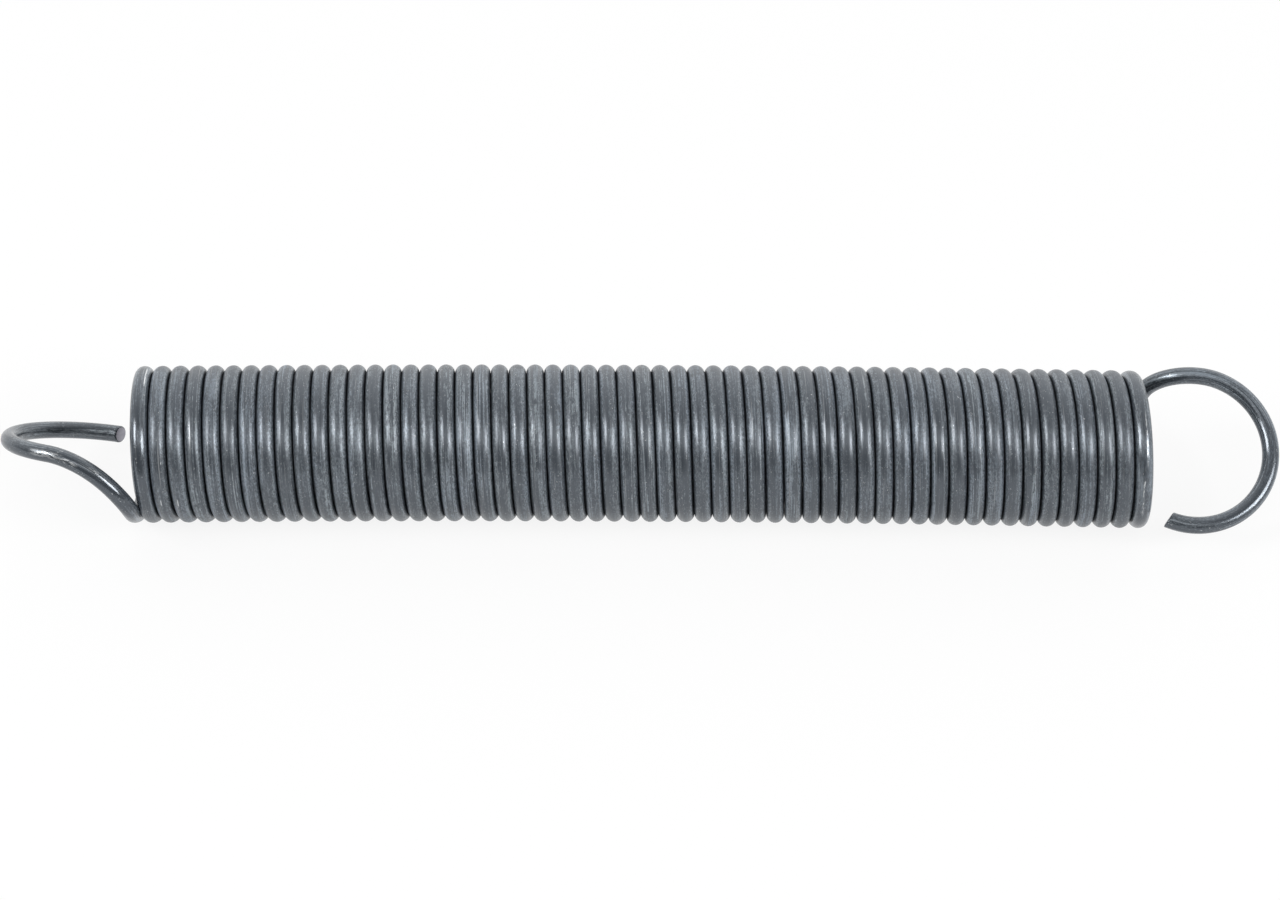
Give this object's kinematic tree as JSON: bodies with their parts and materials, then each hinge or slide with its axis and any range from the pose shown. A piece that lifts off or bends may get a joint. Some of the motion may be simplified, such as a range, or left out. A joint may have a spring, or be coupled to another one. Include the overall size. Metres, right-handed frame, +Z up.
{
  "type": "extension spring",
  "caption": "Close-wound steel extension spring with a full loop at each end, set a quarter turn apart, for pulling two hooked or pinned parts together.",
  "frame": {"origin": "on the coil's axis at mid-length, the centre of the overall box", "axes": "+X along the coil's axis from one loop to the other, +Z up with the spring lying on its coils; the loops lean one each way, 45 degrees from upright"},
  "size_m": [0.3, 0.042, 0.0368],
  "materials": {
    "spring_steel": "satin grey drawn wire, with faint streaks along it"
  },
  "bodies": {
    "root": {"extension_spring": "spring_steel"}
  },
  "joints": []
}
